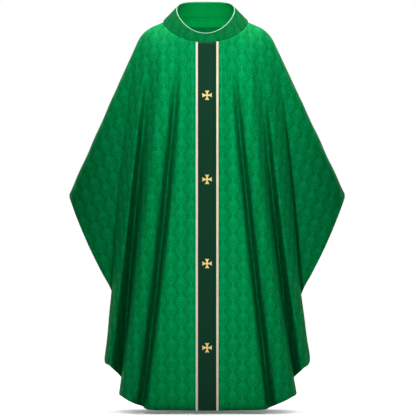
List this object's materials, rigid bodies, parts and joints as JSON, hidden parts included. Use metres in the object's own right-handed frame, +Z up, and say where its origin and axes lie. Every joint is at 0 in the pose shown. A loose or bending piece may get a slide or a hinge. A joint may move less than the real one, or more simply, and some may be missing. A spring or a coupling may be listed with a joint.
{
  "type": "chasuble",
  "caption": "Full Gothic green damask chasuble with a stiffened stand collar and a braided dark centre band with small crosses, shaped as it hangs when worn",
  "frame": {"origin": "midway between the two neck points, where the shoulder seams meet the collar seam; this is where the garment rests on the wearer", "axes": "+Z up, -Y the front of the garment, +X the viewer's right as the front is looked at; the drop from neck to hem runs along -Z"},
  "size_m": [0.927, 0.3416, 1.3693],
  "materials": {
    "damask_green": "green figured damask, soft sheen",
    "damask_facing": "same damask, plain side",
    "band_cloth": "very dark green ribbed cloth, matt",
    "galloon_braid": "cream and pale gold woven braid",
    "gold_embroidery": "satin-stitched gold thread",
    "interlining_canvas": "undyed cotton interlining",
    "collar_canvas": "stiff collar canvas",
    "seam_tape": "green twill tape",
    "piping_cord": "pale mint satin-covered cord"
  },
  "bodies": {
    "root": {"front_panel_left": "damask_green", "front_panel_right": "damask_green", "front_interlining": "interlining_canvas", "front_band": "band_cloth", "front_galloon_left": "galloon_braid", "front_galloon_right": "galloon_braid", "front_cross_1": "gold_embroidery", "front_cross_2": "gold_embroidery", "front_cross_3": "gold_embroidery", "front_cross_4": "gold_embroidery", "front_hem_turn": "damask_green", "front_neck_facing": "damask_green", "back_panel_left": "damask_green", "back_panel_right": "damask_green", "back_interlining": "interlining_canvas", "back_band": "band_cloth", "back_galloon_left": "galloon_braid", "back_galloon_right": "galloon_braid", "back_cross_1": "gold_embroidery", "back_cross_2": "gold_embroidery", "back_cross_3": "gold_embroidery", "back_cross_4": "gold_embroidery", "back_hem_turn": "damask_green", "back_neck_facing": "damask_green", "left_shoulder_tape": "seam_tape", "right_shoulder_tape": "seam_tape", "collar_outer": "damask_green", "collar_stiffener": "collar_canvas", "collar_facing": "damask_facing", "collar_piping": "piping_cord"}
  },
  "joints": []
}
